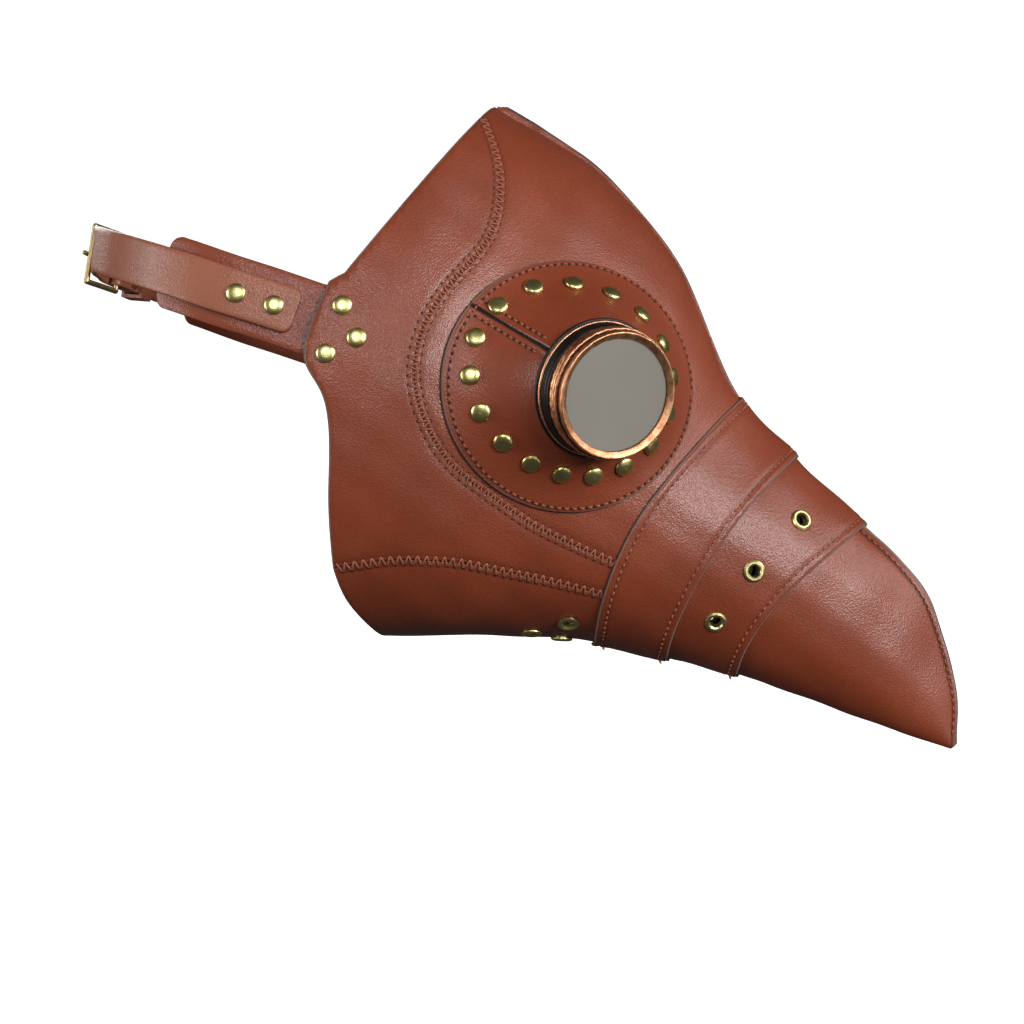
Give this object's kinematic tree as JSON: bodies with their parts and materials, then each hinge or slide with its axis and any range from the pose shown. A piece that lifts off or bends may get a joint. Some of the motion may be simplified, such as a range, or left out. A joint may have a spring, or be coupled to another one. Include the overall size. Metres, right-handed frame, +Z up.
{
  "type": "plague doctor mask",
  "caption": "Leather beak mask with a long curved vented beak, two screw-ring goggles on riveted leather cones and a buckled strap round the back of the head.",
  "frame": {"origin": "centre of the head opening: on the middle plane, at the rear edge of the cheeks, level with the eyes", "axes": "+X forwards along the beak, +Y to the wearer's left, +Z up towards the crown"},
  "size_m": [0.3689, 0.2036, 0.2697],
  "materials": {
    "face_leather": "semi-gloss, reddish brown",
    "band_leather": "semi-gloss, reddish brown",
    "beak_leather": "semi-gloss, reddish brown",
    "eye_leather": "semi-gloss, reddish brown",
    "strap_leather": "satin, light reddish brown",
    "rivet_brass": "polished",
    "eyelet_brass": "polished",
    "buckle_brass": "satin",
    "goggle_black": "satin, rubbed edges",
    "antique_copper": "antique copper, rubbed",
    "smoke_lens": "polished, smoke grey",
    "gasket_rubber": "matte"
  },
  "bodies": {
    "mask": {"beak_tip_R": "beak_leather", "beak_tip_L": "beak_leather", "brow_panel_R": "face_leather", "brow_panel_L": "face_leather", "temple_panel_R": "face_leather", "temple_panel_L": "face_leather", "eye_cone_R": "eye_leather", "eye_cone_L": "eye_leather", "goggle_body_R": "goggle_black", "goggle_body_L": "goggle_black", "goggle_clamp_R": "goggle_black", "goggle_clamp_L": "goggle_black", "vent_eyelets_R": "eyelet_brass", "vent_eyelets_L": "eyelet_brass", "chin_eyelets_R": "eyelet_brass", "chin_eyelets_L": "eyelet_brass", "eye_rivets_R": "rivet_brass", "eye_rivets_L": "rivet_brass", "temple_rivets_R": "rivet_brass", "temple_rivets_L": "rivet_brass", "strap_tab_R": "strap_leather", "strap_tab_L": "strap_leather", "strap_rivets_R": "rivet_brass", "strap_rivets_L": "rivet_brass", "chin_panel": "face_leather", "collar_band": "band_leather", "vent_band": "band_leather", "strap_long": "strap_leather", "strap_short": "strap_leather", "buckle_chape": "strap_leather", "chape_rivets": "rivet_brass"},
    "lens_R": {"lens_R": "smoke_lens", "lens_gasket_R": "gasket_rubber"},
    "lens_ring_R": {"lens_ring_R": "antique_copper"},
    "lens_L": {"lens_L": "smoke_lens", "lens_gasket_L": "gasket_rubber"},
    "lens_ring_L": {"lens_ring_L": "antique_copper"},
    "buckle_frame": {"buckle_frame": "buckle_brass"},
    "buckle_prong": {"buckle_prong": "buckle_brass"},
    "strap_keeper": {"strap_keeper": "strap_leather"}
  },
  "joints": [
    {"name": "lens_slide_R", "type": "slide", "parent": "mask", "child": "lens_R", "axis": [0.4611, -0.862, -0.2105], "range_m": [0, 0.003]},
    {"name": "lens_ring_turn_R", "type": "hinge", "parent": "lens_R", "child": "lens_ring_R", "pos_m": [0.1072, -0.0735, -0.0002], "axis": [0.4611, -0.862, -0.2105], "range_deg": [0, 720]},
    {"name": "lens_slide_L", "type": "slide", "parent": "mask", "child": "lens_L", "axis": [0.4611, 0.862, -0.2105], "range_m": [0, 0.003]},
    {"name": "lens_ring_turn_L", "type": "hinge", "parent": "lens_L", "child": "lens_ring_L", "pos_m": [0.1072, 0.0735, -0.0002], "axis": [0.4611, 0.862, -0.2105], "range_deg": [0, 720]},
    {"name": "buckle_frame_tilt", "type": "hinge", "parent": "mask", "child": "buckle_frame", "pos_m": [-0.09443, 0.02594, 0.05603], "axis": [-0.1428, -0.1066, -0.984], "range_deg": [0, 8]},
    {"name": "buckle_prong_lift", "type": "hinge", "parent": "buckle_frame", "child": "buckle_prong", "pos_m": [-0.09443, 0.02594, 0.05603], "axis": [-0.1428, -0.1066, -0.984], "range_deg": [0, 40]},
    {"name": "strap_keeper_slide", "type": "slide", "parent": "mask", "child": "strap_keeper", "axis": [-0.4012, -0.9026, 0.156], "range_m": [-0.004, 0.0015]}
  ],
  "couplings": [
    {"joint": "lens_slide_R", "follows": "lens_ring_turn_R", "m_per_rad": 0.00023873},
    {"joint": "lens_slide_L", "follows": "lens_ring_turn_L", "m_per_rad": 0.00023873}
  ]
}
